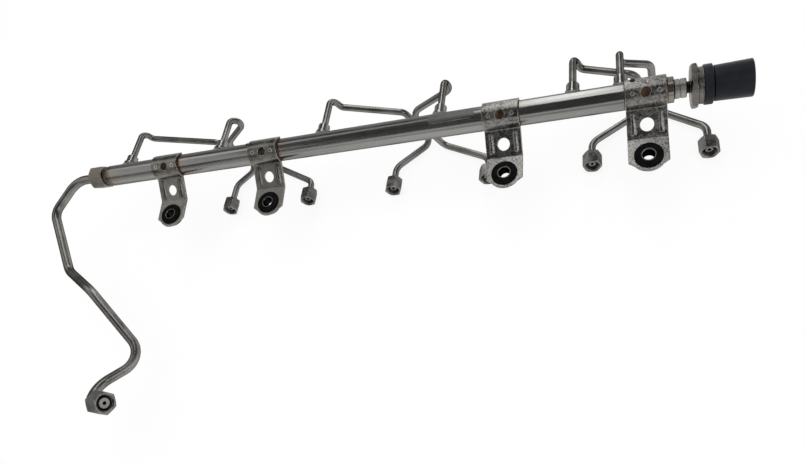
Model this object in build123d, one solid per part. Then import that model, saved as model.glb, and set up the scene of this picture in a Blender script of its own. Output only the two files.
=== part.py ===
from build123d import *
import os

# High-pressure fuel rail for a straight-six engine, with its six injector pipes
# and the feed pipe from the pump. Lengths are in millimetres.
# The four feet stand on z = 0, and the origin is the bolt axis of the first foot.

# Rail: a thick steel tube along X. The pipe ports lean back and down by port_tilt.
rail_y = 45.6
rail_z = 20.6
rail_radius = 10.0
rail_bore = 5.0
rail_left = -73.6
rail_right = 452.8
rail_end_radius = 9.5
rail_end_length = 4.7
port_tilt = 8.2
port_x = [-55.0, 54.1, 163.8, 274.6, 384.3, 420.5]
port_hole = 1.5
port_socket = 8.0

# Threaded stub at the feed end of the rail, and its hexagon nut.
stub_radius = 7.9
stub_left = -89.5
stub_seat = 4.6
inlet_nut_left = -95.5
inlet_nut_length = 16.0
inlet_nut_flats = 20.0

# Sleeves that are brazed round the root of every injector pipe.
sleeve_base_radius = 6.5
sleeve_base_top = 13.2
sleeve_radius = 5.25
sleeve_top = 21.6

# Injector pipes: corner points as distance along the rail, then distance out
# along the ports, then distance up across them, all from the rail's axis.
pipe_radius = 3.0
pipe_bore = 1.4
nut_mouth = -9.5
nut_level = -64.3
nut_x = [29.8, 120.8, 211.8, 302.8, 393.8, 484.8]
pipe_corners = [
    [(-55.0, 54.5, 0), (-49.0, 54.0, -9.3), (23.5, 48.5, -23.5), (52.0, 47.0, -64.3), (29.8, 24.0, -64.3)],
    [(54.1, 51.0, 0), (63.5, 54.0, -9.3), (35.5, 43.0, -25.0), (66.0, 46.5, -64.3), (120.8, 15.0, -64.3)],
    [(163.8, 55.5, 0), (171.0, 53.0, -10.0), (228.0, 51.5, -27.5), (247.0, 47.0, -64.3), (211.8, 18.5, -64.3)],
    [(274.6, 52.5, 0), (277.0, 54.0, -11.6), (237.0, 43.5, -23.0), (258.0, 39.0, -64.3), (302.8, 15.5, -64.3)],
    [(384.3, 54.0, 0), (389.5, 51.0, -11.5), (434.0, 37.5, -15.5), (431.0, 42.0, -64.3), (393.8, 17.0, -64.3)],
    [(420.5, 49.0, 0), (420.5, 51.0, -12.5), (444.0, 53.5, -21.5), (446.5, 45.0, -64.3), (484.8, 18.0, -64.3)],
]
pipe_bends = [
    [6.5, 6.5, 8.0, 9.0, 12.0],
    [6.5, 5.0, 8.0, 9.0, 10.0],
    [6.5, 6.5, 8.0, 9.0, 12.0],
    [6.5, 5.0, 8.0, 9.0, 10.0],
    [6.5, 6.5, 8.0, 9.0, 12.0],
    [6.0, 6.0, 6.5, 9.0, 11.0],
]

# Union nuts that turn freely on the pipe ends.
nut_flats = 14.0
nut_length = 13.0
nut_thread_radius = 5.4
nut_thread_depth = 9.0
nut_clearance = 0.3
nut_turn = [36.0, 24.0, 30.0, 30.0, 38.0, 36.0]
nipple_radius = 4.7
nipple_inset = 3.0

# Feed pipe from the pump.
feed_radius = 4.5
feed_bore = 1.7
feed_corners = [
    (-120.8, 45.6, 20.6),
    (-142.0, 11.3, 18.5),
    (-113.6, -51.7, 7.7),
    (-71.9, -78.4, 13.9),
    (-13.3, -139.3, -13.6),
    (-45.3, -170.3, 4.0),
    (-41.2, -187.4, 12.9),
]
feed_bends = [22.0, 16.0, 16.0, 30.0, 20.0, 22.0, 9.5]
feed_mouth = (-14.3, -190.7, 21.6)
feed_nut_flats = 19.0
feed_nut_length = 16.5
feed_nut_thread_radius = 7.25
feed_nut_thread_depth = 11.0
feed_nut_turn = 29.0
feed_nipple_radius = 6.4
feed_nipple_inset = 1.5

# Pressed sheet feet: a collar over the rail, a sloping web and a flat pad.
foot_x = [0.0, 109.4, 328.6, 437.8]
sheet = 2.0
foot_half_width = 14.7
collar_from = 30.0
collar_sweep = 164.9
web_slope = 31.8
web_point = (23.7, 12.8)
web_run = 13.15
collar_fold = (33.7, 19.0)
pad_top = 7.6
pad_side_front = -4.6
pad_shoulder = (10.3, -7.6)
pad_nose_radius = 12.8
web_hole_radius = 5.0
collar_hole_radius = 3.8
collar_hole_angle = 120.0
dimple_offset = 9.4
bead_offset = 9.9
bead_radius = 2.6
bead_height = 1.1

# Rubber isolators and the steel spacers through them.
pad_hole_radius = 8.2
isolator_radius = 10.5
isolator_bottom = 1.0
isolator_top = 8.8
spacer_outer = 5.5
spacer_bore = 4.5
spacer_top = 9.2

# Pressure sensor on the far end of the rail.
adapter_depth = 12.0
adapter_radius = 7.1
adapter_right = 466.1
neck_radius = 4.25
sensor_left = 468.8
sensor_flats = 30.0
sensor_hex_length = 4.9
crimp_radius = 13.2
crimp_length = 3.7
ring_radius = 14.35
ring_length = 6.2
hood_left = 484.5
hood_right = 510.0
hood_radius_left = 12.7
hood_radius_right = 13.3
hood_wall = 1.8
hood_cavity = 11.0
hood_floor = 490.0
pin_left = 487.5
pin_right = 504.0
pin_pitch = 5.0


def rail_point(x, out, up):
    """A point given along the rail, out along the ports and up across them."""
    return (rail_place * Pos(x, out, up)).position


def along_x(profile):
    """Turn a closed outline of (x, radius) points round the rail's axis."""
    outline = make_face(Polyline(*profile, close=True))
    return Location((0, rail_y, rail_z)) * revolve(outline, Axis.X)


def turned(place, profile):
    """Turn a closed outline of (radius, height) points round a place's Z axis."""
    outline = Plane.XZ * make_face(Polyline(*profile, close=True))
    return place * revolve(outline, Axis.Z)


def hexagon(flats, length):
    """A hexagonal bar along Z with both ends chamfered as on a turned nut."""
    bar = extrude(RegularPolygon(flats / 2, 6, major_radius=False), length)
    tip = flats / 3 ** 0.5
    rise = (tip - flats / 2 + 0.3) * 0.5
    profile = [(0, 0), (flats / 2 - 0.3, 0), (tip + 0.02, rise), (tip + 0.02, length - rise)]
    profile += [(flats / 2 - 0.3, length), (0, length)]
    return bar & turned(Location(), profile)


def bent_tube(points, bends, radius, bore):
    """A round tube along straight runs joined by tangent arcs."""
    path = FilletPolyline(*points, radius=bends)
    end = Plane(origin=points[0], z_dir=Vector(*points[1]) - Vector(*points[0]))
    outer = sweep(end * Circle(radius), path=path)
    inner = sweep(end * Circle(bore), path=path)
    return outer, inner, path.length


def nut_bore(thread, depth, tube, length):
    """Outline of the hole in a union nut: mouth chamfer, thread, shoulder, tube hole."""
    back = tube + nut_clearance
    profile = [(0, -1.0), (thread + 1.9, -1.0), (thread, 0.9), (thread, depth)]
    return profile + [(back, depth + thread - back), (back, length + 1.0), (0, length + 1.0)]


def facing(origin, direction, across):
    """A place at origin with Z along direction and X along across."""
    return Plane(origin=origin, x_dir=across, z_dir=direction).location


rail_place = Location((0, rail_y, rail_z), (-port_tilt, 0, 0))
along_port = rail_point(0, 1, 0) - rail_point(0, 0, 0)
across_port = rail_point(0, 0, 1) - rail_point(0, 0, 0)
parts = {}

# The rail, turned from one bar, with a stub for the feed nut at its left end.
rail = along_x([
    (stub_left, stub_seat),
    (stub_left, stub_radius - 0.8),
    (stub_left + 0.8, stub_radius),
    (rail_left - 1.6, stub_radius),
    (rail_left - 1.6, stub_radius - 0.7),
    (rail_left, stub_radius - 0.7),
    (rail_left, rail_radius - 0.6),
    (rail_left + 0.6, rail_radius),
    (rail_right, rail_radius),
    (rail_right, rail_end_radius),
    (rail_right + rail_end_length - 0.5, rail_end_radius),
    (rail_right + rail_end_length, rail_end_radius - 0.5),
    (rail_right + rail_end_length, rail_bore),
    (stub_left + 6.0, rail_bore),
    (stub_left + 6.0, feed_bore),
    (stub_left + stub_seat - feed_bore, feed_bore),
])
for x in port_x:
    port = facing(rail_point(x, 0, 0), along_port, across_port)
    rail -= port * extrude(Circle(port_hole), rail_radius)
    rail -= port * Pos(0, 0, port_socket) * extrude(Circle(pipe_radius), rail_radius)
parts["rail_tube"] = rail

# Sleeves, coped to the rail and bored for the pipes.
rail_body = Location((0, rail_y, rail_z)) * extrude(Plane.YZ * Circle(rail_radius), 600, both=True)
for index, x in enumerate(port_x):
    port = facing(rail_point(x, 0, 0), along_port, across_port)
    sleeve = turned(port, [
        (pipe_radius, 6.0),
        (sleeve_base_radius, 6.0),
        (sleeve_base_radius, sleeve_base_top - 1.0),
        (sleeve_radius, sleeve_base_top + 0.6),
        (sleeve_radius, sleeve_top - 1.2),
        (sleeve_radius - 1.2, sleeve_top),
        (pipe_radius, sleeve_top),
    ])
    parts[f"port_sleeve_{index + 1}"] = sleeve - rail_body

# Injector pipes, each with a coned nipple, and the nut that is held behind it.
for index, corners in enumerate(pipe_corners):
    x = nut_x[index]
    mouth = facing(rail_point(x, nut_mouth, nut_level), along_port, across_port)
    route = [(port_x[index], port_socket, 0)] + corners + [(x, nut_mouth + nipple_inset, nut_level)]
    points = [tuple(rail_point(*corner)) for corner in route]
    outer, inner, length = bent_tube(points, pipe_bends[index], pipe_radius, pipe_bore)
    nose = turned(mouth * Pos(0, 0, nipple_inset), [
        (0, 0),
        (2.3, 0),
        (nipple_radius, 2.6),
        (nipple_radius, 4.0),
        (pipe_radius, 5.7),
        (0, 5.7),
    ])
    parts[f"injector_pipe_{index + 1}"] = outer + nose - inner
    print("injector pipe", index + 1, "length", round(length, 1))
    nut = mouth * Rot(0, 0, nut_turn[index]) * hexagon(nut_flats, nut_length)
    nut -= turned(mouth, nut_bore(nut_thread_radius, nut_thread_depth, pipe_radius, nut_length))
    parts[f"injector_union_nut_{index + 1}"] = nut

# Feed pipe: seated in the rail's stub at one end, coned for the pump at the other.
feed_end = Vector(*feed_mouth)
feed_inward = (Vector(*feed_corners[-1]) - feed_end).normalized()
pump_end = facing(feed_end, feed_inward, feed_inward.cross(Vector(0, 0, 1)))
feed_stop = feed_end + feed_inward * feed_nipple_inset
points = [(stub_left, rail_y, rail_z)] + feed_corners + [tuple(feed_stop)]
outer, inner, length = bent_tube(points, feed_bends, feed_radius, feed_bore)
print("feed pipe length", round(length, 1))
rail_nose = along_x([
    (stub_left + 2.0, feed_bore),
    (stub_left + 2.0, stub_seat - 2.0),
    (stub_left, stub_seat),
    (stub_left, 6.2),
    (stub_left - 1.4, 6.2),
    (stub_left - 3.1, feed_radius),
    (stub_left - 3.1, feed_bore),
])
pump_nose = turned(pump_end * Pos(0, 0, feed_nipple_inset), [
    (0, 0),
    (4.6, 0),
    (5.2, 0.6),
    (feed_nipple_radius, 2.6),
    (feed_nipple_radius, 4.4),
    (feed_radius, 6.3),
    (0, 6.3),
])
parts["inlet_pipe"] = outer + rail_nose + pump_nose - inner

# Feed nuts: the one at the rail is screwed home, the one at the pump turns freely.
nut_place = facing((inlet_nut_left, rail_y, rail_z), (1, 0, 0), (0, 1, 0))
nut = nut_place * hexagon(inlet_nut_flats, inlet_nut_length)
nut -= along_x([
    (inlet_nut_left - 1.0, 0),
    (inlet_nut_left - 1.0, feed_radius + 0.1),
    (stub_left - 3.0, feed_radius + 0.1),
    (stub_left - 1.4, 6.3),
    (stub_left, 6.3),
    (stub_left, stub_radius),
    (inlet_nut_left + inlet_nut_length + 1.0, stub_radius),
    (inlet_nut_left + inlet_nut_length + 1.0, 0),
])
parts["inlet_union_nut"] = nut
nut = pump_end * Rot(0, 0, feed_nut_turn) * hexagon(feed_nut_flats, feed_nut_length)
bore = nut_bore(feed_nut_thread_radius, feed_nut_thread_depth, feed_radius, feed_nut_length)
parts["pump_union_nut"] = nut - turned(pump_end, bore)

# One foot, drawn at x = 0 and copied along the rail: collar, web and pad in one sheet.
outer_arc = CenterArc((rail_y, rail_z), rail_radius + sheet, collar_from, collar_sweep)
inner_arc = CenterArc((rail_y, rail_z), rail_radius, collar_from, collar_sweep)
back_edge = Line(outer_arc @ 0, inner_arc @ 0)
front_edge = Line(outer_arc @ 1, inner_arc @ 1)
collar = make_face([outer_arc, front_edge, inner_arc, back_edge])
slope = Vector(1, 0).rotate(Axis.Z, web_slope)
rise = Vector(0, 1).rotate(Axis.Z, web_slope)
web_mid = Vector(*web_point)
web_foot = web_mid - slope * ((web_mid.Y - pad_top) / slope.Y)
web_head = web_mid + slope * web_run
under_bend = Vector(web_foot.X + sheet * (1 - slope.X) / slope.Y, pad_top - sheet)
web_under = web_head - rise * sheet
plate = make_face(Polyline(
    (-pad_nose_radius, pad_top),
    (web_foot.X, web_foot.Y),
    (web_head.X, web_head.Y),
    (web_under.X, web_under.Y),
    (under_bend.X, under_bend.Y),
    (-pad_nose_radius, pad_top - sheet),
    close=True,
))
foot = extrude(Plane.YZ * (collar + plate), foot_half_width, both=True) - rail_body
along = foot.edges().filter_by(Axis.X)
fold = Vector(0, *collar_fold)
bend_over = Vector(0, web_foot.X, web_foot.Y)
bend_under = Vector(0, under_bend.X, under_bend.Y)
foot = fillet(along.sort_by_distance(fold)[0], 1.6)
foot = fillet(foot.edges().filter_by(Axis.X).sort_by_distance(bend_over)[0], 3.0)
foot = fillet(foot.edges().filter_by(Axis.X).sort_by_distance(bend_under)[0], 5.0)

# The plan outline of the pad: two shoulders and a round nose about the bolt axis.
shoulder_x, shoulder_y = pad_shoulder
nose = RadiusArc((shoulder_x, shoulder_y), (-shoulder_x, shoulder_y), pad_nose_radius)
sides = Polyline(
    (-shoulder_x, shoulder_y),
    (-foot_half_width, pad_side_front),
    (-foot_half_width, 60.0),
    (foot_half_width, 60.0),
    (foot_half_width, pad_side_front),
    (shoulder_x, shoulder_y),
)
foot &= extrude(make_face([nose, sides]), 40.0)

# Holes: for the isolator, through the web and through the collar.
web_place = Location((0, web_mid.X, web_mid.Y), (web_slope, 0, 0))
collar_place = Location((0, rail_y, rail_z), (collar_hole_angle - 90.0, 0, 0))
foot -= extrude(Circle(pad_hole_radius), 15.0)
foot -= web_place * Cylinder(web_hole_radius, 8.0)
foot -= collar_place * Pos(0, 0, 11.0) * Cylinder(collar_hole_radius, 6.0)
for side in (-1, 1):
    foot -= collar_place * Pos(side * dimple_offset, 0, rail_radius + sheet + 1.5) * Sphere(2.0)

# A pressed stiffening bead on each side of the web.
for side in (-1, 1):
    bead = Rot(90, 0, 0) * Cylinder(bead_radius, 15.0)
    bead += Pos(0, 7.5, 0) * Sphere(bead_radius) + Pos(0, -7.5, 0) * Sphere(bead_radius)
    bead = web_place * Pos(side * bead_offset, 1.2, bead_height - bead_radius) * bead
    groove = web_place * Pos(side * bead_offset, 1.2, -sheet) * Rot(90, 0, 0) * Cylinder(0.9, 15.0)
    below = web_place * Pos(0, 0, -sheet - 10.0) * Box(60, 60, 20)
    foot = foot + (bead - below) - groove
for index, x in enumerate(foot_x):
    parts[f"mounting_foot_{index + 1}"] = Pos(x, 0, 0) * foot

# Rubber isolators gripping the pads, and the steel spacers the bolts clamp on.
isolator = turned(Location(), [
    (spacer_outer, isolator_bottom),
    (isolator_radius - 1.2, isolator_bottom),
    (isolator_radius - 0.5, isolator_bottom + 0.8),
    (isolator_radius - 0.5, pad_top - sheet),
    (pad_hole_radius, pad_top - sheet),
    (pad_hole_radius, pad_top),
    (isolator_radius, pad_top),
    (isolator_radius, isolator_top - 0.4),
    (isolator_radius - 0.5, isolator_top),
    (spacer_outer + 0.8, isolator_top),
    (spacer_outer, isolator_top - 0.6),
])
spacer = turned(Location(), [
    (spacer_bore, 0),
    (spacer_outer - 0.2, 0),
    (spacer_outer, 0.2),
    (spacer_outer, spacer_top - 0.2),
    (spacer_outer - 0.2, spacer_top),
    (spacer_bore + 0.4, spacer_top),
    (spacer_bore, spacer_top - 0.4),
])
for index, x in enumerate(foot_x):
    parts[f"isolator_{index + 1}"] = Pos(x, 0, 0) * isolator
    parts[f"spacer_sleeve_{index + 1}"] = Pos(x, 0, 0) * spacer

# Pressure sensor: adapter in the rail's end, hexagon body, crimped ring and plug hood.
rail_end = rail_right + rail_end_length
parts["sensor_adapter"] = along_x([
    (rail_end - adapter_depth, 1.5),
    (rail_end - adapter_depth, rail_bore),
    (rail_end, rail_bore),
    (rail_end, adapter_radius - 0.5),
    (rail_end + 0.5, adapter_radius),
    (rail_end + 3.7, adapter_radius),
    (rail_end + 3.7, adapter_radius - 0.6),
    (rail_end + 4.7, adapter_radius - 0.6),
    (rail_end + 4.7, adapter_radius),
    (adapter_right - 0.5, adapter_radius),
    (adapter_right, adapter_radius - 0.5),
    (adapter_right, neck_radius),
    (rail_end + 2.0, neck_radius),
    (rail_end + 2.0, 1.5),
])
hex_right = sensor_left + sensor_hex_length
crimp_right = hex_right + crimp_length
ring_right = crimp_right + ring_length
body_place = facing((sensor_left, rail_y, rail_z), (1, 0, 0), (0, 1, 0))
body = body_place * hexagon(sensor_flats, sensor_hex_length)
body += along_x([
    (rail_end + 2.0, 0),
    (rail_end + 2.0, neck_radius),
    (sensor_left + 1.0, neck_radius),
    (sensor_left + 1.0, 0),
])
parts["sensor_hex_body"] = body - along_x([
    (rail_end + 1.0, 0),
    (rail_end + 1.0, 1.0),
    (sensor_left + 1.5, 1.0),
    (sensor_left + 1.5, 0),
])
parts["sensor_crimp_ring"] = along_x([
    (hex_right, 10.0),
    (hex_right, crimp_radius - 0.3),
    (hex_right + 0.3, crimp_radius),
    (crimp_right - 0.6, crimp_radius),
    (crimp_right, crimp_radius - 0.6),
    (crimp_right, 10.0),
])
parts["connector_base_ring"] = along_x([
    (crimp_right, 10.0),
    (crimp_right, ring_radius - 0.5),
    (crimp_right + 0.5, ring_radius),
    (ring_right - 0.5, ring_radius),
    (ring_right, ring_radius - 0.5),
    (ring_right, 10.0),
])
hood = along_x([
    (hex_right, 0),
    (hex_right, 10.0),
    (hood_left, 10.0),
    (hood_left, hood_radius_left - 0.3),
    (hood_left + 0.3, hood_radius_left),
    (hood_right - 0.4, hood_radius_right),
    (hood_right, hood_radius_right - 0.4),
    (hood_right, hood_radius_right - hood_wall + 0.3),
    (hood_right - 0.8, hood_cavity),
    (hood_floor, hood_cavity),
    (hood_floor, 0),
])
blade = Pos((pin_left + pin_right) / 2, rail_y, rail_z) * Box(pin_right - pin_left, 0.8, 2.4)
pins = blade + Pos(0, -pin_pitch, 0) * blade + Pos(0, pin_pitch, 0) * blade
parts["connector_pins"] = pins
parts["connector_hood"] = hood - pins
parts["connector_seal"] = along_x([
    (hood_floor, hood_cavity - 1.6),
    (hood_floor, hood_cavity),
    (hood_floor + 2.2, hood_cavity),
    (hood_floor + 2.2, hood_cavity - 1.6),
])

os.makedirs("parts", exist_ok=True)
for name, shape in parts.items():
    export_step(shape, f"parts/{name}.step")
    print(name, round(shape.volume, 1))
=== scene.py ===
import math
import random
import bmesh
import bpy
from mathutils import Matrix, Vector


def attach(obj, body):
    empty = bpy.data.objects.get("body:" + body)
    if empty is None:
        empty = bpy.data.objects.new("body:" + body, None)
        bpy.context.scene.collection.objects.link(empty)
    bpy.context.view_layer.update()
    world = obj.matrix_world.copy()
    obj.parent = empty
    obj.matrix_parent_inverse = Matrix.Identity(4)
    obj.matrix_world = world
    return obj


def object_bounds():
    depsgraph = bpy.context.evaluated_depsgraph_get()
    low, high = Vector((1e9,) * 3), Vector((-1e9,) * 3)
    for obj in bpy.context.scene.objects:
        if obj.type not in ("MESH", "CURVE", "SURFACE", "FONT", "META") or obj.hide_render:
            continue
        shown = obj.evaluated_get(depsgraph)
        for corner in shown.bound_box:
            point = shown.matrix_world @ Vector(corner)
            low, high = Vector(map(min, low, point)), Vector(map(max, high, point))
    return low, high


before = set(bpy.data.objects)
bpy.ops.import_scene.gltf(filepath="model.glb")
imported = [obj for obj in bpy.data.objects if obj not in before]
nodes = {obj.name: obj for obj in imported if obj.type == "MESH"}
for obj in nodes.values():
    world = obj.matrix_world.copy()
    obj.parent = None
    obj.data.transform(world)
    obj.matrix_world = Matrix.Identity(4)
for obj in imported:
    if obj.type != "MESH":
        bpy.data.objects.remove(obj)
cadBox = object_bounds()
print("frame loaded:", len(nodes), "nodes")

# the part is given in millimetres and the stage in metres
mm = 0.001
railY = 45.6
railZ = 20.6
railRadius = 10.0
collarRadius = 12.0
portTilt = math.radians(8.2)
footX = (0.0, 109.4, 328.6, 437.8)
portX = (-55.0, 54.1, 163.8, 274.6, 384.3, 420.5)
firstNutX = 29.8
nutPitch = 91.0
nutX = [firstNutX + nutPitch * i for i in range(6)]
bedding = 0.03  # how far a small piece sinks into the face under it


# node helpers: put adds a node, and a value may be a number or another node's socket

mixInputs = {"A": 6, "B": 7}  # a Mix node's colour sockets, which share names with its other ones
mixResult = 2


def isColourMix(node):
    return node.bl_idname == "ShaderNodeMix" and node.data_type == "RGBA"


def fill(tree, node, values):
    for key, value in values.items():
        socket = node.inputs[mixInputs.get(key, key) if isColourMix(node) else key]
        if isinstance(value, bpy.types.NodeSocket):
            tree.links.new(value, socket)
        else:
            socket.default_value = value
    return node


def put(tree, kind, values=None, **settings):
    node = tree.nodes.new(kind)
    for key, value in settings.items():
        setattr(node, key, value)
    return fill(tree, node, values or {})


def use(tree, group, values):
    node = tree.nodes.new("ShaderNodeGroup")
    node.node_tree = group
    return fill(tree, node, values)


def sums(tree, operation, first, second=0.0):
    return put(tree, "ShaderNodeMath", {0: first, 1: second}, operation=operation).outputs[0]


def ramp(tree, value, low, high, toLow=0.0, toHigh=1.0):
    settings = {"Value": value, "From Min": low, "From Max": high, "To Min": toLow, "To Max": toHigh}
    return put(tree, "ShaderNodeMapRange", settings, interpolation_type="SMOOTHSTEP").outputs[0]


def tinted(tree, factor, colour, other):
    first = colour if isinstance(colour, bpy.types.NodeSocket) else (*colour, 1)
    second = other if isinstance(other, bpy.types.NodeSocket) else (*other, 1)
    mix = put(tree, "ShaderNodeMix", {"Factor": factor, "A": first, "B": second}, data_type="RGBA")
    return mix.outputs[mixResult]


def objectPlace(tree):
    return put(tree, "ShaderNodeTexCoord").outputs["Object"]


def objectAxis(tree, axis):
    return put(tree, "ShaderNodeSeparateXYZ", {0: objectPlace(tree)}).outputs[axis]


def noise(tree, place, scale, detail, roughness=0.5):
    values = {"Vector": place, "Scale": scale, "Detail": detail, "Roughness": roughness}
    return put(tree, "ShaderNodeTexNoise", values).outputs["Fac"]


def newGroup(name, ins, outs):
    group = bpy.data.node_groups.new(name, "ShaderNodeTree")
    for label, kind, value in ins:
        socket = group.interface.new_socket(name=label, in_out="INPUT", socket_type=kind)
        socket.default_value = value
    for label, kind in outs:
        group.interface.new_socket(name=label, in_out="OUTPUT", socket_type=kind)
    return group, group.nodes.new("NodeGroupInput"), group.nodes.new("NodeGroupOutput")


def startMaterial(name):
    material = bpy.data.materials.new(name)
    material.use_nodes = True
    material.node_tree.nodes.clear()
    return material, material.node_tree


# camera, floor, sky and lamps

camera = {
    "place": (0.42539, -0.28832, 0.45903), "turn": (21.095, 19.7275, 4.4239),
    "lens": 29.206, "sensor": 36.0, "rise": 0.1006, "near": 0.01, "far": 60.0,
}
floor = {
    "size": 30.0, "middle": (0.2, 0.0), "drop": 0.0004,
    "colour": (0.90, 0.90, 0.90), "ownLight": 0.90,
}
sky = {"low": (0.66, 0.66, 0.65), "high": (0.115, 0.115, 0.118), "from": -0.05, "to": 0.55}
softboxes = {
    "stripBehind": {
        "place": (0.25, 1.60, 0.60), "aim": (0.36, 0.05, 0.0), "size": (0.34, 1.10), "glow": 3.2,
    },
    "stripAbove": {
        "place": (0.25, 0.95, 1.33), "aim": (0.37, 0.05, 0.0), "size": (0.42, 1.15), "glow": 2.6,
    },
    "upperBack": {
        "place": (-0.55, 1.00, 1.45), "aim": (0.15, 0.05, 0.0), "size": (1.60, 0.45), "glow": 0.7,
    },
    "wideLeft": {
        "place": (-1.25, 0.0, 1.35), "aim": (0.0, 0.05, 0.0), "size": (2.40, 0.90), "glow": 0.78,
    },
    "upperRight": {
        "place": (1.10, -0.62, 1.10), "aim": (0.30, -0.05, 0.0), "size": (0.60, 0.90), "glow": 1.8,
    },
    "lowFront": {
        "place": (0.15, -1.75, 0.82), "aim": (0.22, 0.0, 0.0), "size": (2.20, 0.62), "glow": 0.72,
    },
    "sideRight": {
        "place": (2.05, -0.50, 0.55), "aim": (0.48, 0.05, 0.0), "size": (0.8, 0.9), "glow": 1.3,
    },
    "overhead": {
        "place": (0.15, 0.0, 1.90), "aim": (0.15, 0.0, 0.0), "size": (1.8, 1.5), "glow": 3.4,
    },
}
notInGloss = ("overhead",)


def placeCamera():
    scene = bpy.context.scene
    lensData = bpy.data.cameras.new("shotCamera")
    lensData.sensor_fit = "HORIZONTAL"
    lensData.sensor_width = camera["sensor"]
    lensData.lens = camera["lens"]
    lensData.shift_y = camera["rise"]
    lensData.clip_start = camera["near"]
    lensData.clip_end = camera["far"]
    shot = bpy.data.objects.new("shotCamera", lensData)
    shot.location = camera["place"]
    shot.rotation_euler = [math.radians(angle) for angle in camera["turn"]]
    scene.collection.objects.link(shot)
    scene.camera = shot


def seenByCamera(tree):
    # 1 for what the camera sees straight or in metal and glass, 0 for the light on the object
    path = put(tree, "ShaderNodeLightPath")
    seen = path.outputs["Is Camera Ray"]
    for ray in ("Is Glossy Ray", "Is Transmission Ray"):
        seen = sums(tree, "MAXIMUM", seen, path.outputs[ray])
    return seen


def makePaper():
    paper, tree = startMaterial("paperFloor")
    matt = put(tree, "ShaderNodeBsdfDiffuse", {"Color": (*floor["colour"], 1)})
    glow = put(tree, "ShaderNodeEmission", {"Color": (1, 1, 1, 1), "Strength": 1.0})
    share = sums(tree, "MULTIPLY", seenByCamera(tree), floor["ownLight"])
    blend = put(tree, "ShaderNodeMixShader", {"Fac": share, 1: matt.outputs[0], 2: glow.outputs[0]})
    put(tree, "ShaderNodeOutputMaterial", {"Surface": blend.outputs[0]})
    return paper


def layFloor():
    bm = bmesh.new()
    bmesh.ops.create_grid(bm, x_segments=1, y_segments=1, size=floor["size"] / 2)
    bmesh.ops.translate(bm, verts=bm.verts, vec=(*floor["middle"], cadBox[0][2] - floor["drop"]))
    mesh = bpy.data.meshes.new("studioFloor")
    bm.to_mesh(mesh)
    bm.free()
    mesh.materials.append(makePaper())
    ground = bpy.data.objects.new("studioFloor", mesh)
    bpy.context.scene.collection.objects.link(ground)


def paintSky():
    world = bpy.data.worlds.new("softRoom")
    bpy.context.scene.world = world
    world.use_nodes = True
    tree = world.node_tree
    tree.nodes.clear()
    where = put(tree, "ShaderNodeTexCoord")
    split = put(tree, "ShaderNodeSeparateXYZ", {0: where.outputs["Generated"]})
    height = ramp(tree, split.outputs["Z"], sky["from"], sky["to"])
    colour = tinted(tree, height, sky["low"], sky["high"])
    light = put(tree, "ShaderNodeBackground", {"Color": colour, "Strength": 1.0})
    put(tree, "ShaderNodeOutputWorld", {"Surface": light.outputs[0]})


def hangLamps():
    for name, box in softboxes.items():
        wide, tall = box["size"]
        lamp = bpy.data.lights.new(name, "AREA")
        lamp.shape = "RECTANGLE"
        lamp.size = wide
        lamp.size_y = tall
        lamp.energy = box["glow"] * math.pi * wide * tall  # so that glow is the panel's brightness
        holder = bpy.data.objects.new(name, lamp)
        holder.location = box["place"]
        way = Vector(box["aim"]) - Vector(box["place"])
        holder.rotation_euler = way.to_track_quat("-Z", "Y").to_euler()
        holder.visible_glossy = name not in notInGloss
        bpy.context.scene.collection.objects.link(holder)


bpy.context.scene.view_settings.view_transform = "Standard"
placeCamera()
layFloor()
paintSky()
hangLamps()
print("camera, floor, sky and lamps ready")


# effects that several materials share

grainEffect = {
    "cloudDetail": 4.0, "cloudRough": 0.55, "cloudRange": (0.30, 0.70),
    "fineDetail": 3.0, "fineRough": 0.6, "fineRange": (0.28, 0.72),
}
wearAndHighlightEffect = {
    "samples": 6, "bend": (0.01, 0.16),
    "patchScale": 420.0, "patchDetail": 3.0, "patchRange": (0.30, 0.62), "patchLeast": 0.35,
}
heatEffect = {"ragScale": 260.0, "ragDetail": 4.0, "fade": 0.75}
grimeEffect = {
    "samples": 6, "closed": (0.12, 0.58),
    "patchScale": 190.0, "patchDetail": 4.0, "patchRange": (0.3, 0.65), "patchLeast": 0.45,
}


def patches(tree, effect):
    cloud = noise(tree, objectPlace(tree), effect["patchScale"], effect["patchDetail"])
    return ramp(tree, cloud, *effect["patchRange"], effect["patchLeast"], 1.0)


def makeGrain():
    # soft cloudy shade plus fine drawn or cast grain; Stretch pulls it along an axis
    ins = [
        ("Stretch", "NodeSocketVector", (1, 1, 1)),
        ("Coarse", "NodeSocketFloat", 60.0),
        ("Fine", "NodeSocketFloat", 900.0),
    ]
    outs = [("Shade", "NodeSocketFloat"), ("Grain", "NodeSocketFloat")]
    group, start, end = newGroup("metalGrain", ins, outs)
    mapping = {"Vector": objectPlace(group), "Scale": start.outputs["Stretch"]}
    place = put(group, "ShaderNodeMapping", mapping).outputs[0]
    effect = grainEffect
    cloud = noise(group, place, start.outputs["Coarse"], effect["cloudDetail"], effect["cloudRough"])
    grain = noise(group, place, start.outputs["Fine"], effect["fineDetail"], effect["fineRough"])
    group.links.new(ramp(group, cloud, *effect["cloudRange"]), end.inputs["Shade"])
    group.links.new(ramp(group, grain, *effect["fineRange"]), end.inputs["Grain"])
    return group


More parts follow.
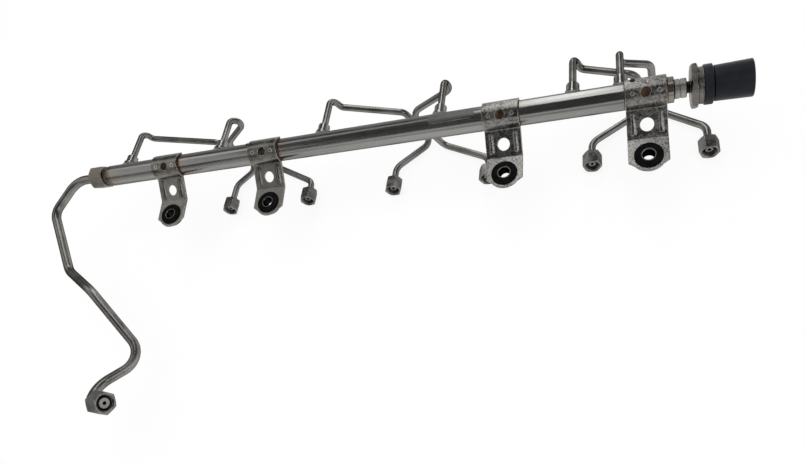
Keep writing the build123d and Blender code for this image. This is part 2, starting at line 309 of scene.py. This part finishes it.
def makeEdgeWearAndHighlight():
    # bright rubbed edges, which partly stand in for painted rim highlights, and the rounded normal that goes
    # with them
    ins = [("Radius", "NodeSocketFloat", 0.0004), ("Amount", "NodeSocketFloat", 1.0)]
    outs = [("Mask", "NodeSocketFloat"), ("Rounded", "NodeSocketVector")]
    group, start, end = newGroup("edgeWearAndHighlight", ins, outs)
    radius = {"Radius": start.outputs["Radius"]}
    rounded = put(group, "ShaderNodeBevel", radius, samples=wearAndHighlightEffect["samples"]).outputs[0]
    flat = put(group, "ShaderNodeNewGeometry").outputs["Normal"]
    dot = put(group, "ShaderNodeVectorMath", {0: rounded, 1: flat}, operation="DOT_PRODUCT")
    edge = ramp(group, sums(group, "SUBTRACT", 1.0, dot.outputs["Value"]), *wearAndHighlightEffect["bend"])
    worn = sums(group, "MULTIPLY", edge, patches(group, wearAndHighlightEffect))
    group.links.new(sums(group, "MULTIPLY", worn, start.outputs["Amount"]), end.inputs["Mask"])
    group.links.new(rounded, end.inputs["Rounded"])
    return group


def makeHeatTint():
    # a ragged band of oxide colour round one place along the rail
    ins = [
        ("Centre", "NodeSocketFloat", 0.0),
        ("Width", "NodeSocketFloat", 0.002),
        ("Strength", "NodeSocketFloat", 1.0),
    ]
    group, start, end = newGroup("heatTint", ins, [("Mask", "NodeSocketFloat")])
    rag = noise(group, objectPlace(group), heatEffect["ragScale"], heatEffect["ragDetail"])
    shift = sums(group, "MULTIPLY", sums(group, "SUBTRACT", rag, 0.5), start.outputs["Width"])
    along = sums(group, "ADD", objectAxis(group, "X"), shift)
    away = sums(group, "ABSOLUTE", sums(group, "SUBTRACT", along, start.outputs["Centre"]))
    near = sums(group, "SUBTRACT", 1.0, sums(group, "DIVIDE", away, start.outputs["Width"]))
    soft = ramp(group, near, 0.0, heatEffect["fade"])
    group.links.new(sums(group, "MULTIPLY", soft, start.outputs["Strength"]), end.inputs["Mask"])
    return group


def makeCornerShade():
    # painted shade: a mask, from ambient occlusion in uneven patches, that darkens corners and hollows
    ins = [("Reach", "NodeSocketFloat", 0.003), ("Strength", "NodeSocketFloat", 0.6)]
    group, start, end = newGroup("paintedCornerShade", ins, [("Mask", "NodeSocketFloat")])
    reach = {"Distance": start.outputs["Reach"]}
    # painted shade: the more closed in a point is, the darker it is painted
    corner = put(group, "ShaderNodeAmbientOcclusion", reach, samples=grimeEffect["samples"])
    closed = sums(group, "SUBTRACT", 1.0, corner.outputs["AO"])
    closed = ramp(group, closed, *grimeEffect["closed"])
    uneven = sums(group, "MULTIPLY", closed, patches(group, grimeEffect))
    group.links.new(sums(group, "MULTIPLY", uneven, start.outputs["Strength"]), end.inputs["Mask"])
    return group


grainGroup = makeGrain()
wearAndHighlightGroup = makeEdgeWearAndHighlight()
heatGroup = makeHeatTint()
grimeGroup = makeCornerShade()
print("shared effects ready")


# materials

grimeRough = 0.25  # what the painted corner shade adds to the roughness
rimShade = {"blend": 0.5, "range": (0.45, 0.95)}  # painted shade: the colour darkens where a metal face turns away from the camera


def grainOf(tree, look):
    return use(tree, grainGroup, {"Stretch": look["stretch"], "Coarse": look["coarse"], "Fine": look["fine"]})


def wearAndHighlightOf(tree, look):
    return use(tree, wearAndHighlightGroup, {"Radius": look["edge"] * mm, "Amount": look["worn"]})


def relief(tree, look, height, wearAndHighlight):
    values = {"Strength": look["bump"], "Distance": look["depth"] * mm, "Height": height}
    if wearAndHighlight:
        values["Normal"] = wearAndHighlight.outputs["Rounded"]
    return put(tree, "ShaderNodeBump", values).outputs[0]


def principled(tree, values):
    shader = put(tree, "ShaderNodeBsdfPrincipled", values)
    put(tree, "ShaderNodeOutputMaterial", {"Surface": shader.outputs[0]})


def metalColour(tree, look, grain, grime, wearAndHighlight):
    colour = tinted(tree, grain.outputs["Shade"], look["dark"], look["light"])
    speck = ramp(tree, grain.outputs["Grain"], 0.0, 1.0, 0.0, look["speck"])
    colour = tinted(tree, speck, colour, look["fleck"])
    for place, width, strength, tint in look["heat"]:
        band = use(tree, heatGroup, {"Centre": place * mm, "Width": width * mm, "Strength": strength})
        colour = tinted(tree, band.outputs["Mask"], colour, tint)
    for axis, low, high, tint, amount in look["zones"]:
        zone = ramp(tree, objectAxis(tree, axis), low * mm, high * mm, 0.0, amount)
        colour = tinted(tree, zone, colour, tint)
    # painted shade: the colour darkens in corners and hollows
    colour = tinted(tree, grime.outputs["Mask"], colour, look["film"])
    if wearAndHighlight:
        # partly rubbed edges, partly painted rim highlight: sharp edges turn lighter
        colour = tinted(tree, wearAndHighlight.outputs["Mask"], colour, look["bright"])
    # painted shade along rims that turn away from the camera, by the outline share
    facing = put(tree, "ShaderNodeLayerWeight", {"Blend": rimShade["blend"]}).outputs["Facing"]
    edge = ramp(tree, facing, *rimShade["range"], 0.0, look["outline"])
    return tinted(tree, edge, colour, look["film"])


def metalRoughness(tree, look, grain, grime):
    rough = ramp(tree, grain.outputs["Shade"], 0.0, 1.0, *look["rough"])
    fine = ramp(tree, grain.outputs["Grain"], 0.0, 1.0, 0.0, look["roughGrain"])
    # roughness added where corner shade is painted
    film = sums(tree, "MULTIPLY", grime.outputs["Mask"], grimeRough)
    return sums(tree, "ADD", sums(tree, "ADD", rough, fine), film)


def makeMetal(name, look):
    material, tree = startMaterial(name)
    grain = grainOf(tree, look)
    wearAndHighlight = wearAndHighlightOf(tree, look) if look["worn"] else None
    # mask of painted corner shade, which also roughens the surface
    grime = use(tree, grimeGroup, {"Strength": look["grime"], "Reach": look["reach"] * mm})
    clouds = sums(tree, "MULTIPLY", grain.outputs["Shade"], look["cloudHeight"])
    principled(tree, {
        "Base Color": metalColour(tree, look, grain, grime, wearAndHighlight),
        "Roughness": metalRoughness(tree, look, grain, grime),
        "Metallic": 1.0,
        "Specular Tint": (look["rim"], look["rim"], look["rim"], 1),
        "Normal": relief(tree, look, sums(tree, "ADD", grain.outputs["Grain"], clouds), wearAndHighlight),
    })
    return material


def makePolymer(name, look):
    material, tree = startMaterial(name)
    grain = grainOf(tree, look)
    wearAndHighlight = wearAndHighlightOf(tree, look)
    colour = tinted(tree, grain.outputs["Shade"], look["dark"], look["light"])
    principled(tree, {
        # sharp edges lighter: partly rubbed, partly painted rim highlight
        "Base Color": tinted(tree, wearAndHighlight.outputs["Mask"], colour, look["bright"]),
        "Roughness": ramp(tree, grain.outputs["Grain"], 0.0, 1.0, *look["rough"]),
        "Specular IOR Level": look["gloss"],
        "Normal": relief(tree, look, grain.outputs["Grain"], wearAndHighlight),
    })
    return material


# depth, edge, reach, zones and heat are in millimetres; the dark colour after bright is that of painted shade
# in corners and at turned-away rims, and bright that of rubbed edges, which partly stand in for painted rim
# highlights
plainMetal = {
    "stretch": (1, 1, 1), "coarse": 70.0, "fine": 900.0,
    "dark": (0.20, 0.198, 0.190), "light": (0.34, 0.337, 0.325), "fleck": (0.42, 0.415, 0.40),
    # the last colour on the next line is that of painted shade in corners and at rims
    "speck": 0.25, "bright": (0.66, 0.65, 0.63), "film": (0.045, 0.040, 0.034),
    # outline is the share of painted rim shade
    "rough": (0.20, 0.32), "roughGrain": 0.06, "rim": 0.8, "outline": 0.45,
    "bump": 0.25, "depth": 0.03, "cloudHeight": 0.4,
    "edge": 0.35, "worn": 0.6, "grime": 0.5, "reach": 3.0,
    "zones": [],  # each: axis, where its colour starts, where it is full, colour and share
    "heat": [],  # each: place along the rail, width, strength and colour
}


def metal(name, **changes):
    return makeMetal(name, {**plainMetal, **changes})


brown = (0.115, 0.068, 0.040)
straw = (0.30, 0.235, 0.165)
railSteel = metal(
    "railSteel",
    stretch=(0.05, 1, 1), coarse=130.0, fine=1500.0,
    dark=(0.185, 0.183, 0.176), light=(0.285, 0.282, 0.272), speck=0.2,
    rough=(0.13, 0.24), roughGrain=0.05, rim=0.5, outline=0.6,
    bump=0.10, depth=0.010,
    edge=0.2, grime=0.35,
    heat=[
        (-71.5, 3.6, 0.75, brown), (-66.0, 9.0, 0.35, straw), (16.0, 2.6, 0.9, brown),
        (21.0, 7.0, 0.40, straw), (-16.0, 2.0, 0.35, straw), (125.4, 2.4, 0.85, brown),
        (129.5, 6.0, 0.30, straw), (92.5, 2.2, 0.5, straw), (345.0, 1.6, 0.35, straw),
        (454.5, 4.5, 0.55, straw),
    ],
)
pipeSteel = metal(
    "pipeSteel",
    coarse=45.0, fine=1400.0,
    dark=(0.142, 0.138, 0.129), light=(0.282, 0.272, 0.256), speck=0.12,
    rough=(0.25, 0.34), roughGrain=0.03, rim=0.2, outline=0.92,
    bump=0.03, depth=0.005,
    edge=0.0, worn=0.0, grime=0.5,
)
nutSteel = metal(
    "nutSteel",
    coarse=120.0, fine=1700.0,
    # strong, far-reaching painted shade darkens the nut mouths
    dark=(0.115, 0.112, 0.106), light=(0.245, 0.238, 0.224), film=(0.014, 0.013, 0.011),
    rough=(0.20, 0.34), rim=0.4,
    bump=0.30, depth=0.02,
    edge=0.45, worn=0.8, grime=1.0, reach=8.0,
)
footSteel = metal(
    "footSteel",
    coarse=150.0, fine=620.0,
    dark=(0.070, 0.067, 0.062), light=(0.200, 0.195, 0.182), fleck=(0.55, 0.54, 0.515),
    speck=0.4,
    rough=(0.15, 0.30), roughGrain=0.10,
    bump=0.5, depth=0.05, cloudHeight=0.9,
    edge=0.8, worn=1.0, grime=0.75,
)
warmFoot = metal(
    "warmFoot",
    coarse=120.0, fine=700.0,
    dark=(0.098, 0.091, 0.079), light=(0.225, 0.214, 0.192), fleck=(0.36, 0.345, 0.315),
    speck=0.25,
    rough=(0.17, 0.30), roughGrain=0.08,
    bump=0.35, depth=0.035, cloudHeight=0.9,
    edge=0.8, worn=1.0, grime=0.8,
)
brazedNut = metal(
    "brazedNut",
    coarse=130.0, fine=1200.0,
    dark=(0.165, 0.145, 0.125), light=(0.29, 0.262, 0.232), fleck=(0.36, 0.33, 0.30),
    bright=(0.56, 0.53, 0.49),
    rough=(0.30, 0.45),
    bump=0.35, depth=0.02,
    edge=0.45, worn=0.8, grime=0.7,
)
adapterSteel = metal(
    "adapterSteel",
    coarse=110.0, fine=1300.0,
    dark=(0.22, 0.212, 0.197), light=(0.36, 0.348, 0.324),
    rough=(0.24, 0.36),
    bump=0.3, depth=0.015,
    edge=0.3, worn=0.7, grime=0.8,
    # painted shade: the adapter turns near black from 466.5 on, for the shade in the narrow neck before the
    # hex
    zones=[("X", 465.9, 466.5, (0.012, 0.012, 0.013), 1.0)],
)
sensorSteel = metal(
    "sensorSteel",
    coarse=90.0, fine=1400.0,
    dark=(0.100, 0.092, 0.082), light=(0.208, 0.195, 0.175), fleck=(0.40, 0.385, 0.35),
    bright=(0.70, 0.68, 0.64),
    rough=(0.20, 0.34),
    bump=0.25, depth=0.015,
    edge=0.4, worn=0.6, grime=0.55,
    # painted shade: the hex body is near black up to 468.5, in the narrow neck behind the adapter
    zones=[("X", 468.9, 468.5, (0.012, 0.012, 0.013), 1.0)],
)
spacerSteel = metal(
    "spacerSteel",
    coarse=150.0, fine=1500.0,
    dark=(0.060, 0.058, 0.055), light=(0.150, 0.147, 0.141), film=(0.010, 0.010, 0.010),
    rough=(0.22, 0.34), rim=0.1, outline=0.9,
    bump=0.3, depth=0.015,
    edge=0.2, worn=0.6, grime=1.0, reach=9.0,
    # painted shade: below the top rim the sleeve turns near black, for the shade inside the isolator's bore
    zones=[("Z", 9.0, 8.3, (0.010, 0.010, 0.010), 0.97)],
)
pinMetal = metal(
    "pinMetal",
    coarse=300.0, fine=2000.0,
    dark=(0.52, 0.50, 0.45), light=(0.66, 0.64, 0.58),
    rough=(0.22, 0.32),
    edge=0.15, worn=0.5, grime=0.3,
)
brazeMetal = metal(
    "brazeMetal",
    coarse=240.0, fine=1300.0,
    dark=(0.040, 0.024, 0.018), light=(0.125, 0.070, 0.049), fleck=(0.27, 0.18, 0.135),
    bright=(0.42, 0.31, 0.25),
    rough=(0.30, 0.5),
    bump=0.7, depth=0.05, cloudHeight=1.4,
    edge=0.2, worn=0.3, grime=0.8,
)
darkBraze = metal(
    "darkBraze",
    coarse=240.0, fine=1300.0,
    dark=(0.030, 0.024, 0.020), light=(0.10, 0.072, 0.055), fleck=(0.17, 0.13, 0.105),
    bright=(0.26, 0.22, 0.19),
    rough=(0.38, 0.6),
    bump=0.7, depth=0.05, cloudHeight=1.4,
    edge=0.2, worn=0.2, grime=0.8,
)
seamBraze = metal(
    "seamBraze",
    coarse=210.0, fine=1300.0,
    dark=(0.13, 0.115, 0.10), light=(0.29, 0.275, 0.25),
    rough=(0.25, 0.45),
    bump=0.6, depth=0.04, cloudHeight=1.2,
    edge=0.2, worn=0.3, grime=0.7,
)
# painted shade: the threads sit inside the union nuts and are coloured dark so that the nut mouths read dark
shadedThreadSteel = metal(
    "shadedThreadSteel",
    coarse=260.0, fine=1800.0,
    dark=(0.030, 0.028, 0.025), light=(0.095, 0.091, 0.084),
    rough=(0.24, 0.40),
    edge=0.12, worn=1.0, grime=0.8,
)
etchedSteel = metal(
    "etchedSteel",
    stretch=(0.12, 1, 1), coarse=150.0, fine=1900.0,
    dark=(0.085, 0.085, 0.083), light=(0.15, 0.149, 0.145), fleck=(0.23, 0.228, 0.22),
    speck=0.35,
    rough=(0.30, 0.42), roughGrain=0.1,
    worn=0.2, grime=0.2,
)
isolatorRubber = makePolymer("isolatorRubber", {
    "stretch": (1, 1, 1), "coarse": 140.0, "fine": 1100.0,
    "dark": (0.0022, 0.0022, 0.0024), "light": (0.0055, 0.0055, 0.0058),
    "bright": (0.025, 0.025, 0.026),
    "rough": (0.48, 0.70),
    "bump": 0.5, "depth": 0.04,
    "edge": 0.5, "worn": 0.6, "gloss": 0.035,
})
hoodPlastic = makePolymer("hoodPlastic", {
    "stretch": (1, 1, 1), "coarse": 60.0, "fine": 1500.0,
    "dark": (0.0060, 0.0070, 0.0100), "light": (0.0100, 0.0118, 0.0165),
    "bright": (0.035, 0.038, 0.046),
    "rough": (0.32, 0.46),
    "bump": 0.35, "depth": 0.03,
    "edge": 0.5, "worn": 0.4, "gloss": 0.17,
})
sealRubber = makePolymer("sealRubber", {
    "stretch": (1, 1, 1), "coarse": 140.0, "fine": 1400.0,
    "dark": (0.045, 0.012, 0.008), "light": (0.085, 0.022, 0.014),
    "bright": (0.14, 0.04, 0.03),
    "rough": (0.45, 0.62),
    "bump": 0.4, "depth": 0.03,
    "edge": 0.3, "worn": 0.4, "gloss": 0.45,
})
print("materials ready")


# finishes for the solid parts

def dress(material, *names):
    for name in names:
        node = nodes[name]
        for slot in node.material_slots:
            slot.material = material
        if not node.material_slots:
            node.data.materials.append(material)


def numbered(stem, places):
    return [f"{stem}_{i + 1}" for i in range(len(places))]


dress(railSteel, "rail_tube", *numbered("port_sleeve", portX))
dress(pipeSteel, "inlet_pipe", *numbered("injector_pipe", nutX))
dress(nutSteel, "pump_union_nut", *numbered("injector_union_nut", nutX))
dress(warmFoot, "mounting_foot_1", "mounting_foot_2")
dress(footSteel, "mounting_foot_3", "mounting_foot_4")
dress(isolatorRubber, *numbered("isolator", footX))
dress(spacerSteel, *numbered("spacer_sleeve", footX))
dress(brazedNut, "inlet_union_nut")
dress(adapterSteel, "sensor_adapter")
dress(sensorSteel, "sensor_hex_body", "sensor_crimp_ring")
dress(hoodPlastic, "connector_base_ring", "connector_hood")
dress(pinMetal, "connector_pins")
dress(sealRubber, "connector_seal")
print("solid parts dressed")


# shaping helpers: a shape is a mesh in millimetres and the place it goes to

sharpAngle = math.radians(38.0)


def railPoint(x, out, up):
    y = railY + out * math.cos(portTilt) + up * math.sin(portTilt)
    z = railZ - out * math.sin(portTilt) + up * math.cos(portTilt)
    return Vector((x, y, z))


def standing(place, axis, across=(1, 0, 0)):
    # a matrix with Z along axis and X nearly along across
    up = Vector(axis).normalized()
    side = Vector(across)
    side = (side - up * side.dot(up)).normalized()
    basis = Matrix((side, up.cross(side), up)).transposed()
    return Matrix.Translation(Vector(place)) @ basis.to_4x4()


def onRail(x, angle, radius=railRadius):
    # Z straight out of the rail at this angle from +Y, X along the rail
    out = Vector((0, math.cos(math.radians(angle)), math.sin(math.radians(angle))))
    return standing(Vector((x, railY, railZ)) + out * radius, out)


def alongRail(x):
    return standing((x, railY, railZ), (1, 0, 0), (0, 1, 0))


def outline(bm, points, closed=True):
    verts = [bm.verts.new(point) for point in points]
    pairs = zip(verts, verts[1:] + verts[:1]) if closed else zip(verts, verts[1:])
    return verts + [bm.edges.new(pair) for pair in pairs]


def capEnds(bm, sides):
    ends = [edge for edge in bm.edges if edge.is_boundary]
    bmesh.ops.holes_fill(bm, edges=ends, sides=sides)


def turned(points, place, steps, closed=False):
    # a ring round local Z, from points of (radius, height)
    bm = bmesh.new()
    profile = outline(bm, [(r, 0, z) for r, z in points], closed)
    fullTurn = 2 * math.pi
    bmesh.ops.spin(
        bm, geom=profile, cent=(0, 0, 0), axis=(0, 0, 1), angle=fullTurn, steps=steps, use_merge=True,
    )
    bmesh.ops.remove_doubles(bm, verts=bm.verts, dist=0.0005)
    return bm, place


def aroundRail(points, start, sweep, steps):
    # a strip bent round the rail's axis, from points of (place along the rail, radius)
    bm = bmesh.new()
    y = math.cos(math.radians(start))
    z = math.sin(math.radians(start))
    profile = outline(bm, [(along, railY + r * y, railZ + r * z) for along, r in points])
    middle = (0, railY, railZ)
    bmesh.ops.spin(bm, geom=profile, cent=middle, axis=(1, 0, 0), angle=math.radians(sweep), steps=steps)
    capEnds(bm, len(points))
    return bm, Matrix.Identity(4)


def saddle(bm):
    # bends a flat ring to the rail's round back
    for vert in bm.verts:
        vert.co.z += math.sqrt(max(0.0, railRadius ** 2 - vert.co.y ** 2))


def joined(pieces):
    # moves each shape to its place and gathers them in one mesh
    whole = bmesh.new()
    for bm, place in pieces:
        bmesh.ops.transform(bm, matrix=place, verts=bm.verts)
        mesh = bpy.data.meshes.new("part")
        bm.to_mesh(mesh)
        bm.free()
        whole.from_mesh(mesh)
        bpy.data.meshes.remove(mesh)
    return whole


def finish(name, pieces, material, body="rail"):
    bm = joined(pieces)
    bmesh.ops.recalc_face_normals(bm, faces=bm.faces)
    bmesh.ops.scale(bm, vec=(mm, mm, mm), verts=bm.verts)
    mesh = bpy.data.meshes.new(name)
    bm.to_mesh(mesh)
    bm.free()
    mesh.shade_smooth()
    mesh.set_sharp_from_angle(angle=sharpAngle)
    mesh.materials.append(material)
    piece = bpy.data.objects.new(name, mesh)
    bpy.context.scene.collection.objects.link(piece)
    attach(piece, body)


# threads

threadForm = {"pitch": 1.5, "rootHalf": 0.63, "crestHalf": 0.12, "stepsPerTurn": 32}
nutThread = {"root": 5.45, "crest": 4.92, "from": 0.9, "turns": 4.8, "mouthOut": -9.5, "mouthUp": -64.3}
pumpThread = {
    "root": 7.30, "crest": 6.72, "from": 0.9, "turns": 6.0,
    "mouth": (-14.3, -190.7, 21.6), "inward": (-27, 3.3, -8.7),
}
stubThread = {"root": 7.80, "crest": 8.45, "from": -79.3, "turns": 2.9}


def ridge(thread, place):
    # a thread's ridge, which climbs along local Z
    root = thread["root"]
    crest = thread["crest"]
    foot = threadForm["rootHalf"]
    top = threadForm["crestHalf"]
    points = [(root, -foot), (crest, -top), (crest, top), (root, foot)]
    bm = bmesh.new()
    profile = outline(bm, [(r, 0, z) for r, z in points])
    steps = threadForm["stepsPerTurn"]
    bmesh.ops.spin(
        bm, geom=profile, cent=(0, 0, 0), axis=(0, 0, 1), dvec=(0, 0, threadForm["pitch"] / steps),
        angle=2 * math.pi * thread["turns"], steps=int(thread["turns"] * steps),
    )
    capEnds(bm, len(points))
    return bm, place @ Matrix.Translation((0, 0, thread["from"]))


portWay = railPoint(0, 1, 0) - railPoint(0, 0, 0)
for index, x in enumerate(nutX):
    mouth = standing(railPoint(x, nutThread["mouthOut"], nutThread["mouthUp"]), portWay)
    nutBody = f"injector_nut_{index + 1}"
    finish(f"nutThread_{index + 1}", [ridge(nutThread, mouth)], shadedThreadSteel, nutBody)
pumpMouth = standing(pumpThread["mouth"], pumpThread["inward"])
finish("pumpNutThread", [ridge(pumpThread, pumpMouth)], shadedThreadSteel, "pump_nut")
finish("stubThread", [ridge(stubThread, alongRail(0))], shadedThreadSteel)
print("threads cut")


# brazing at the port sleeves

sleeveBraze = {
    "ring": [(6.40, 2.1), (6.75, 1.1), (7.25, 0.5), (8.10, 0.16), (8.9, -0.12), (6.40, -0.6)],
    "steps": 56,
}
for index, x in enumerate(portX):
    port = standing(railPoint(x, 0, 0), portWay)
    bm, place = turned(sleeveBraze["ring"], port, sleeveBraze["steps"], True)
    saddle(bm)
    finish(f"sleeveBraze_{index + 1}", [(bm, place)], seamBraze)
print("sleeves brazed")


# brazing and weld marks at the feet

collar = {"half": 14.7, "from": 31.0, "sweep": 163.0, "holeAngle": 120.0}
seam = {"width": 0.75, "height": 0.8, "overlap": 0.05, "sink": 0.1, "shoulder": (0.25, 0.45), "steps": 60}
holePlug = {
    "dome": [(0.0, 0.10), (2.2, 0.16), (3.2, 0.42), (3.85, 1.0), (3.85, -0.4), (0.0, -0.4)],
    "steps": 40,
}
spot = {"offset": 9.4, "radius": 1.45, "bead": 0.42, "rise": 0.8, "depth": -0.25, "steps": 20}
spatter = {
    "counts": (5, 7, 7, 12), "seed": 11, "along": (-7.5, 9.0), "angles": (138, 166),
    "size": (0.22, 0.5), "flat": 0.55,
}


def edgeSeam(x, side):
    near = x + side * (collar["half"] - seam["overlap"])
    far = x + side * (collar["half"] + seam["width"])
    low = railRadius - seam["sink"]
    out, share = seam["shoulder"]
    points = [(near, low), (near, low + seam["height"])]
    points += [(near + side * out, low + seam["height"] * share), (far, low)]
    return aroundRail(points, collar["from"], collar["sweep"], seam["steps"])


def filledHole(x):
    bm, place = turned(holePlug["dome"], onRail(x, collar["holeAngle"], 0.0), holePlug["steps"])
    saddle(bm)
    return bm, place


def spotRing(x):
    r = spot["radius"]
    b = spot["bead"]
    top = b * spot["rise"]
    ring = [(r - b, 0.0), (r - b / 2, top), (r + b / 2, top), (r + b, 0.0), (r, spot["depth"])]
    return turned(ring, onRail(x, collar["holeAngle"], collarRadius - bedding), spot["steps"], True)


def droplet(radius, place):
    bm = bmesh.new()
    bmesh.ops.create_icosphere(bm, subdivisions=2, radius=radius)
    bmesh.ops.scale(bm, vec=(1, 1, spatter["flat"]), verts=bm.verts)
    return bm, place


def weldSpatter(x, seed, count):
    chance = random.Random(seed)
    marks = []
    for _ in range(count):
        along = x + chance.uniform(*spatter["along"])
        angle = chance.uniform(*spatter["angles"])
        radius = chance.uniform(*spatter["size"])
        marks.append(droplet(radius, onRail(along, angle, collarRadius - bedding)))
    return marks


for index, x in enumerate(footX):
    label = index + 1
    finish(f"footSeam_{label}", [edgeSeam(x, -1), edgeSeam(x, 1)], darkBraze)
    finish(f"holeBraze_{label}", [filledHole(x)], darkBraze if index < 2 else brazeMetal)
    rings = [spotRing(x - spot["offset"]), spotRing(x + spot["offset"])]
    finish(f"spotWeld_{label}", rings, pinMetal)
    marks = weldSpatter(x, spatter["seed"] + index, spatter["counts"][index])
    finish(f"spatter_{label}", marks, seamBraze)
print("feet brazed")


# the raised side of the stiffening ridges pressed in each web

webRidge = {
    "offset": 9.9, "radius": 3.0, "rise": 1.25, "half": 6.9, "keep": -0.2,
    "at": (23.7, 12.8), "slope": 31.8, "shift": 1.2, "around": 36, "rings": 17,
}


def pressedRidge(x, side):
    bm = bmesh.new()
    bmesh.ops.create_uvsphere(
        bm, u_segments=webRidge["around"], v_segments=webRidge["rings"], radius=webRidge["radius"],
    )
    for vert in bm.verts:
        vert.co.z += math.copysign(webRidge["half"], vert.co.z)
    lying = Matrix.Rotation(math.radians(90), 3, "Y")
    bmesh.ops.rotate(bm, verts=bm.verts, cent=(0, 0, 0), matrix=lying)
    bmesh.ops.translate(bm, verts=bm.verts, vec=(0, 0, webRidge["rise"] - webRidge["radius"]))
    whole = bm.verts[:] + bm.edges[:] + bm.faces[:]
    cut = (0, 0, webRidge["keep"])
    bmesh.ops.bisect_plane(bm, geom=whole, plane_co=cut, plane_no=(0, 0, 1), clear_inner=True)
    angle = math.radians(webRidge["slope"])
    along = Vector((0, math.cos(angle), math.sin(angle)))
    middle = Vector((x + side * webRidge["offset"], *webRidge["at"])) + along * webRidge["shift"]
    return bm, standing(middle, (0, -math.sin(angle), math.cos(angle)), along)


for index, x in enumerate(footX):
    ridges = [pressedRidge(x, -1), pressedRidge(x, 1)]
    finish(f"webRidge_{index + 1}", ridges, warmFoot if index < 2 else footSteel)
print("webs pressed")


# isolator lips

isolatorLip = {
    "outer": [(8.8, -0.4), (8.9, 0.18), (9.45, 0.44), (10.05, 0.30), (10.35, -0.4)],
    "inner": [(5.62, -0.4), (5.7, 0.16), (6.1, 0.32), (6.5, 0.14), (6.6, -0.4)],
    "top": 8.8, "steps": 64,
}
for index, x in enumerate(footX):
    top = Matrix.Translation((x, 0, isolatorLip["top"]))
    lips = [turned(isolatorLip[key], top, isolatorLip["steps"], True) for key in ("outer", "inner")]
    finish(f"isolatorLip_{index + 1}", lips, isolatorRubber)
print("isolators lipped")


# bare etched panel on the rail, and the line in it

panel = {"from": 268.7, "to": 307.5, "start": 40, "sweep": 81, "thick": 0.06, "steps": 36}
panelLine = {"from": 270.7, "to": 304.5, "start": 112, "sweep": 2.2, "thick": 0.08, "steps": 4}


def skinStrip(strip):
    low = railRadius - bedding
    high = railRadius + strip["thick"]
    points = [(strip["from"], low), (strip["from"], high), (strip["to"], high), (strip["to"], low)]
    return aroundRail(points, strip["start"], strip["sweep"], strip["steps"])


finish("etchedPanel", [skinStrip(panel)], etchedSteel)
finish("etchedLine", [skinStrip(panelLine)], adapterSteel)
print("panel etched")


# a plug behind the rail, and a dark dome on the fourth collar that is painted shadow between the pipes and
# the rail

plugAndShadowDome = {
    # the first spot, at 429 on the collar, is painted shadow; the second is a plug
    "spots": [(429.0, collarRadius, 2.0), (92.0, railRadius, 1.7)], "angle": 62.0, "steps": 28,
    "dome": [(0, 0.8), (0.45, 0.725), (0.8, 0.5), (1.0, 0.1), (1.05, -0.3), (0, -0.3)],
}
for index, (x, radius, size) in enumerate(plugAndShadowDome["spots"]):
    dome = [(r * size, z * size) for r, z in plugAndShadowDome["dome"]]
    nub = turned(dome, onRail(x, plugAndShadowDome["angle"], radius), plugAndShadowDome["steps"])
    finish(f"plugAndShadowDome_{index + 1}", [nub], darkBraze)
print("plugs set")


# keys in the hood, and the crimp's rolled edge

hoodKey = {
    "inside": 11.1, "height": 0.9, "width": 1.6, "from": 491.5, "to": 508.8,
    "angles": (90, 205, 335), "bevel": 0.22,
}
crimpRoll = {
    "edge": [(13.1, -0.5), (13.45, -0.25), (13.5, 0.15), (13.2, 0.5), (12.6, 0.5), (12.6, -0.5)],
    "at": 477.0, "steps": 72,
}


def hoodRib(angle):
    bm = bmesh.new()
    bmesh.ops.create_cube(bm, size=1.0)
    size = (hoodKey["to"] - hoodKey["from"], hoodKey["width"], hoodKey["height"])
    bmesh.ops.scale(bm, vec=size, verts=bm.verts)
    bmesh.ops.bevel(
        bm, geom=bm.edges, offset=hoodKey["bevel"], offset_type="OFFSET", segments=2, profile=0.5,
        affect="EDGES", material=-1,
    )
    middle = (hoodKey["from"] + hoodKey["to"]) / 2
    return bm, onRail(middle, angle, hoodKey["inside"] - hoodKey["height"] / 2)


finish("hoodKeys", [hoodRib(angle) for angle in hoodKey["angles"]], hoodPlastic)
roll = turned(crimpRoll["edge"], alongRail(crimpRoll["at"]), crimpRoll["steps"], True)
finish("crimpRoll", [roll], sensorSteel)
print("sensor trimmed")
